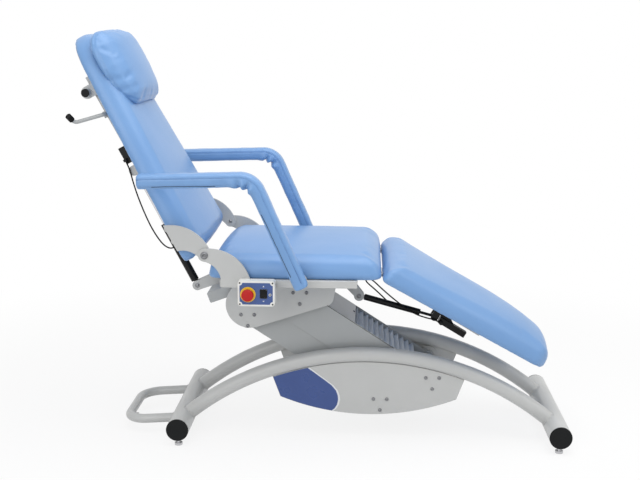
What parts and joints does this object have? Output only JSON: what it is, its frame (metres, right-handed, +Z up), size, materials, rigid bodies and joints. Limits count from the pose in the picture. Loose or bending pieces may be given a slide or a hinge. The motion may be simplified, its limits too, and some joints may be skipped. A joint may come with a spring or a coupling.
{
  "type": "electric beauty chair",
  "caption": "Reclining treatment chair with a powered parallelogram lift, gas-spring backrest and leg rest, folding armrests and a loose head pillow.",
  "frame": {"origin": "on the floor, at the middle of the whole chair's length and width", "axes": "X from the head end to the foot end, Y to the sitter's left, Z up"},
  "size_m": [1.684, 0.818, 1.3954],
  "materials": {
    "light_grey_paint": "semi-gloss powder coat",
    "black_paint": "satin",
    "bright_steel": "zinc plated and lightly brushed",
    "chrome": "polished",
    "blue_vinyl": "smooth upholstery vinyl, soft sheen",
    "plywood": "bare plywood",
    "black_rubber": "matt",
    "grey_bellows": "matt pleated sheet",
    "black_plastic": "moulded, fine grain",
    "white_plastic": "moulded",
    "blue_label": "smooth film",
    "yellow_plastic": "smooth",
    "red_plastic": "smooth"
  },
  "bodies": {
    "base": {"rear_cross_tube": "light_grey_paint", "front_cross_tube": "light_grey_paint", "tube_end_caps": "black_plastic", "right_bow_tube": "light_grey_paint", "left_bow_tube": "light_grey_paint", "right_side_plate": "light_grey_paint", "left_side_plate": "light_grey_paint", "base_pivot_axles": "bright_steel", "base_pivot_bolts": "bright_steel", "actuator_beam": "light_grey_paint", "rear_stabiliser": "light_grey_paint", "levelling_feet": "black_rubber"},
    "lower_arm": {"lower_lift_arm": "light_grey_paint"},
    "upper_arm": {"upper_lift_arm": "light_grey_paint", "lift_bellows": "grey_bellows"},
    "actuator_body": {"lift_actuator": "black_plastic"},
    "actuator_rod": {"lift_actuator_rod": "chrome"},
    "carriage": {"right_carriage_plate": "light_grey_paint", "left_carriage_plate": "light_grey_paint", "carriage_pivot_axles": "bright_steel", "carriage_pivot_bolts": "bright_steel", "seat_frame": "light_grey_paint", "knee_hinges_seat_half": "bright_steel", "seat_board": "plywood", "seat_cushion": "blue_vinyl", "seat_hinge_plates": "light_grey_paint", "pivot_bolts": "bright_steel", "spring_brackets": "light_grey_paint", "power_box": "black_plastic", "control_box": "white_plastic", "control_panel": "blue_label", "stop_button_ring": "yellow_plastic"},
    "backrest": {"back_board": "plywood", "back_cushion": "blue_vinyl", "back_hinge_plates": "light_grey_paint", "back_frame": "light_grey_paint", "back_spring_mount": "black_paint", "push_bar": "light_grey_paint", "push_bar_plugs": "black_plastic", "head_pillow": "blue_vinyl", "back_release_cable": "black_rubber"},
    "release_lever": {"release_lever": "bright_steel", "lever_grip": "black_rubber"},
    "back_spring_body": {"back_gas_spring": "black_paint"},
    "back_spring_rod": {"back_spring_rod": "chrome"},
    "leg_rest": {"knee_hinges_leg_half": "bright_steel", "leg_board": "plywood", "leg_cushion": "blue_vinyl", "leg_frame": "light_grey_paint", "leg_spring_mount": "black_paint", "leg_release_cable": "black_rubber"},
    "leg_spring_body": {"leg_gas_spring": "black_paint"},
    "leg_spring_rod": {"leg_spring_rod": "chrome"},
    "stop_button": {"stop_button": "red_plastic"},
    "lift_switch": {"lift_switch": "black_plastic"},
    "right_armrest": {"right_armrest_tube": "light_grey_paint", "right_armrest_sleeve": "blue_vinyl"},
    "left_armrest": {"left_armrest_tube": "light_grey_paint", "left_armrest_sleeve": "blue_vinyl"}
  },
  "joints": [
    {"name": "lift", "type": "hinge", "parent": "base", "child": "upper_arm", "pos_m": [0.379, 0, 0.21], "axis": [0, 1, 0], "range_deg": [-8.5, 26]},
    {"name": "lower_arm_swing", "type": "hinge", "parent": "base", "child": "lower_arm", "pos_m": [0.2, 0, 0.13], "axis": [0, 1, 0], "range_deg": [-8.6, 26.1]},
    {"name": "carriage_level", "type": "hinge", "parent": "upper_arm", "child": "carriage", "pos_m": [-0.07878, 0, 0.50389], "axis": [0, 1, 0], "range_deg": [-26.1, 8.6]},
    {"name": "actuator_swing", "type": "hinge", "parent": "base", "child": "actuator_body", "pos_m": [0.308, 0, 0.134], "axis": [0, 1, 0], "range_deg": [-8.2, 24.7]},
    {"name": "actuator_extend", "type": "slide", "parent": "actuator_body", "child": "actuator_rod", "axis": [-0.6874, 0, 0.7262], "range_m": [-0.0149, 0.0454]},
    {"name": "recline", "type": "hinge", "parent": "carriage", "child": "backrest", "pos_m": [-0.377, 0, 0.678], "axis": [0, 1, 0], "range_deg": [-61.5, 6]},
    {"name": "back_spring_swing", "type": "hinge", "parent": "carriage", "child": "back_spring_body", "pos_m": [-0.454, 0, 0.502], "axis": [0, 1, 0], "range_deg": [-53.2, 5.3]},
    {"name": "back_spring_stroke", "type": "slide", "parent": "back_spring_body", "child": "back_spring_rod", "axis": [-0.4645, 0, 0.8856], "range_m": [-0.1892, 0.0187]},
    {"name": "release", "type": "hinge", "parent": "backrest", "child": "release_lever", "pos_m": [-0.71817, -0.18, 1.12088], "axis": [0, 1, 0], "range_deg": [0, 12], "stiffness_Nm_per_rad": 0.6, "springref_deg": -17.19},
    {"name": "leg_raise", "type": "hinge", "parent": "carriage", "child": "leg_rest", "pos_m": [0.196, 0, 0.606], "axis": [0, -1, 0], "range_deg": [-1.5, 31]},
    {"name": "leg_spring_swing", "type": "hinge", "parent": "carriage", "child": "leg_spring_body", "pos_m": [0.122, 0, 0.472], "axis": [0, -1, 0], "range_deg": [-1.3, 24.95]},
    {"name": "leg_spring_stroke", "type": "slide", "parent": "leg_spring_body", "child": "leg_spring_rod", "axis": [0.9658, 0, -0.2593], "range_m": [-0.0038, 0.0757]},
    {"name": "stop_press", "type": "slide", "parent": "carriage", "child": "stop_button", "axis": [0, 1, 0], "range_m": [0, 0.004], "stiffness_N_per_m": 400, "springref_m": -0.004},
    {"name": "lift_rocker", "type": "hinge", "parent": "carriage", "child": "lift_switch", "pos_m": [-0.1815, -0.3587, 0.5625], "axis": [1, 0, 0], "range_deg": [-8, 8], "stiffness_Nm_per_rad": 0.15},
    {"name": "right_armrest_fold", "type": "hinge", "parent": "carriage", "child": "right_armrest", "pos_m": [-0.064, -0.38, 0.6], "axis": [0, 1, 0], "range_deg": [-35, 0]},
    {"name": "left_armrest_fold", "type": "hinge", "parent": "carriage", "child": "left_armrest", "pos_m": [-0.064, 0.38, 0.6], "axis": [0, 1, 0], "range_deg": [-35, 0]}
  ],
  "couplings": [
    {"joint": "lower_arm_swing", "follows": "lift", "ratio": 1},
    {"joint": "carriage_level", "follows": "lift", "ratio": -1},
    {"joint": "actuator_swing", "follows": "lift", "ratio": 0.9448},
    {"joint": "actuator_extend", "follows": "lift", "m_per_rad": 0.09948},
    {"joint": "back_spring_swing", "follows": "recline", "ratio": 0.8618},
    {"joint": "back_spring_stroke", "follows": "recline", "m_per_rad": 0.17595},
    {"joint": "leg_spring_swing", "follows": "leg_raise", "ratio": 0.8012},
    {"joint": "leg_spring_stroke", "follows": "leg_raise", "m_per_rad": 0.13971}
  ]
}
